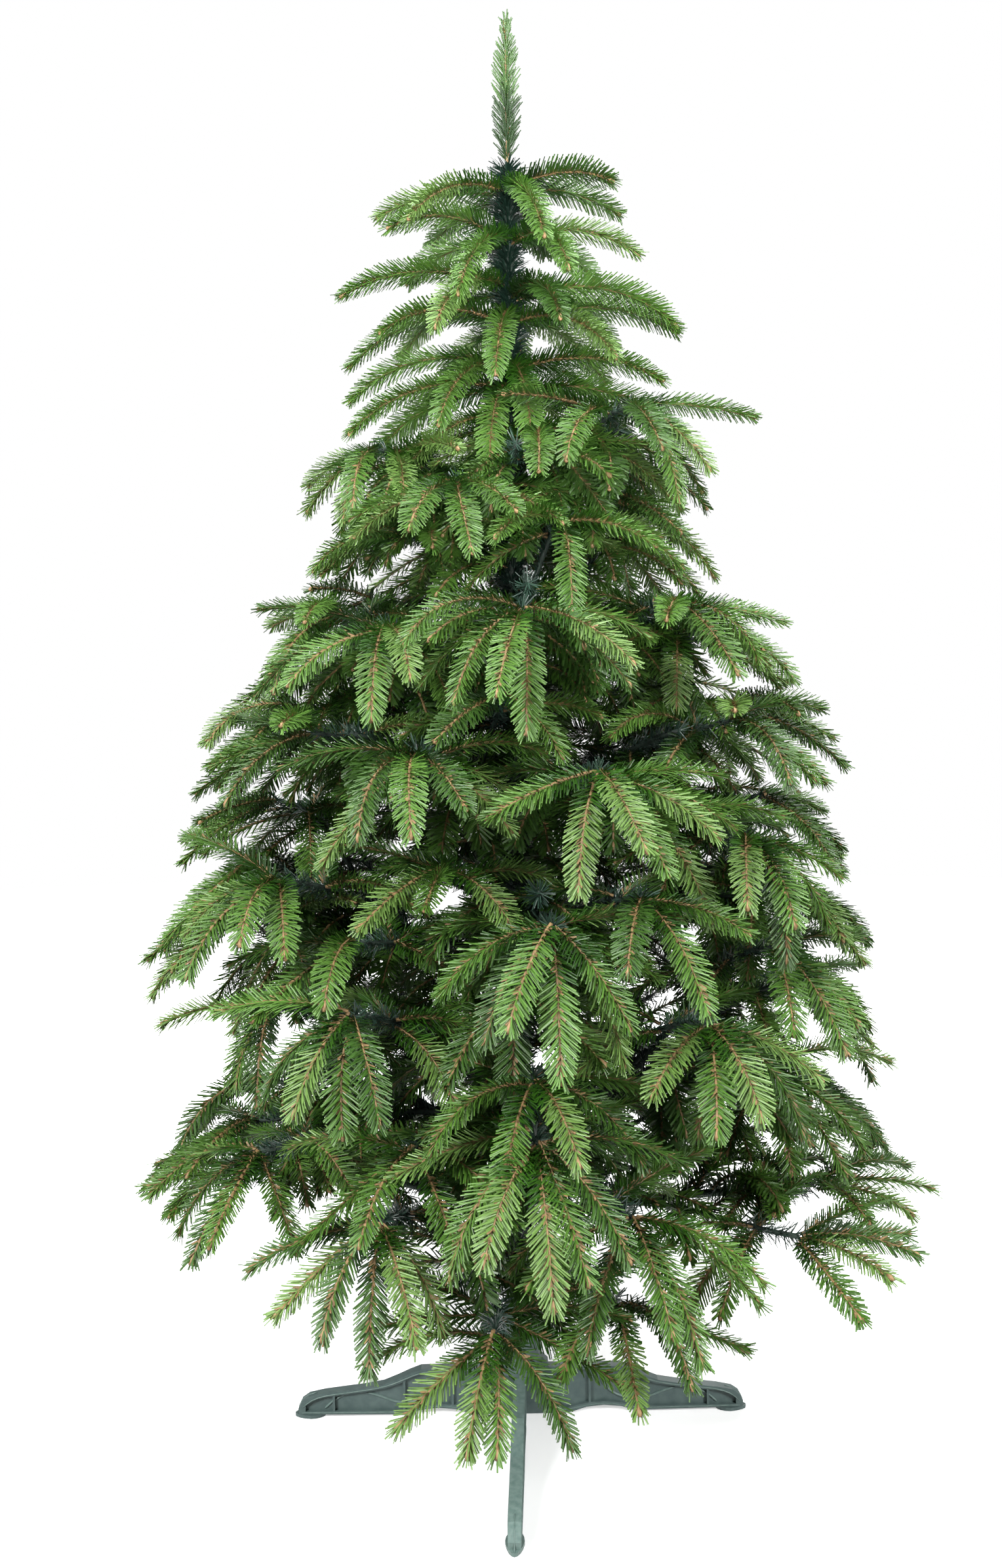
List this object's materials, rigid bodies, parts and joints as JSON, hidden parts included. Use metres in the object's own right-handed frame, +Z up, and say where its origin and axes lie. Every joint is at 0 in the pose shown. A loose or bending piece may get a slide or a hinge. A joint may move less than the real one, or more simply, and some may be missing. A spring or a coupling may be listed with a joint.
{
  "type": "artificial spruce tree",
  "caption": "Undecorated artificial spruce: wrapped pole on a crossed-blade plastic stand, wire boughs in tiers, each ending in a drooping fan of moulded needle tips.",
  "frame": {"origin": "on the floor, at the middle of the stand's flat underside where the two blades cross, on the pole's axis", "axes": "+Z up along the pole to the leader, -Y the front as pictured, +X to the right in the picture"},
  "size_m": [0.9878, 0.9874, 1.8],
  "materials": {
    "stand_plastic": "satin moulded plastic, dark grey-green",
    "pole_wrap": "pole wrapped in dark green film bristle",
    "bough_wrap": "wire wrapped in dark bluish-green film bristle",
    "needles": "moulded soft needles, mid green, light yellow-green where lit"
  },
  "bodies": {
    "root": {"bough_e1": "bough_wrap", "bough_e2": "bough_wrap", "bough_e3": "bough_wrap", "bough_e4": "bough_wrap", "bough_f1": "bough_wrap", "bough_f2": "bough_wrap", "bough_f3": "bough_wrap", "bough_f4": "bough_wrap", "bough_g1": "bough_wrap", "bough_g2": "bough_wrap", "bough_g3": "bough_wrap", "bough_g4": "bough_wrap", "bough_h1": "bough_wrap", "bough_h2": "bough_wrap", "bough_h3": "bough_wrap", "bough_h4": "bough_wrap", "bough_j1": "bough_wrap", "bough_j2": "bough_wrap", "bough_j3": "bough_wrap", "bough_j4": "bough_wrap", "bough_j5": "bough_wrap", "bough_k1": "bough_wrap", "bough_k2": "bough_wrap", "bough_k3": "bough_wrap", "bough_k4": "bough_wrap", "foliage_e1": "needles", "foliage_e2": "needles", "foliage_e3": "needles", "foliage_e4": "needles", "foliage_f1": "needles", "foliage_f2": "needles", "foliage_f3": "needles", "foliage_f4": "needles", "foliage_g1": "needles", "foliage_g2": "needles", "foliage_g3": "needles", "foliage_g4": "needles", "foliage_h1": "needles", "foliage_h2": "needles", "foliage_h3": "needles", "foliage_h4": "needles", "foliage_j1": "needles", "foliage_j2": "needles", "foliage_j3": "needles", "foliage_j4": "needles", "foliage_j5": "needles", "foliage_k1": "needles", "foliage_k2": "needles", "foliage_k3": "needles", "foliage_k4": "needles", "foliage_whorl_1": "needles", "foliage_whorl_2": "needles", "foliage_whorl_3": "needles", "foliage_whorl_4": "needles", "leader": "needles", "pole": "pole_wrap", "stand_blade_front": "stand_plastic", "stand_blade_side": "stand_plastic", "stand_socket": "stand_plastic"}
  },
  "joints": []
}
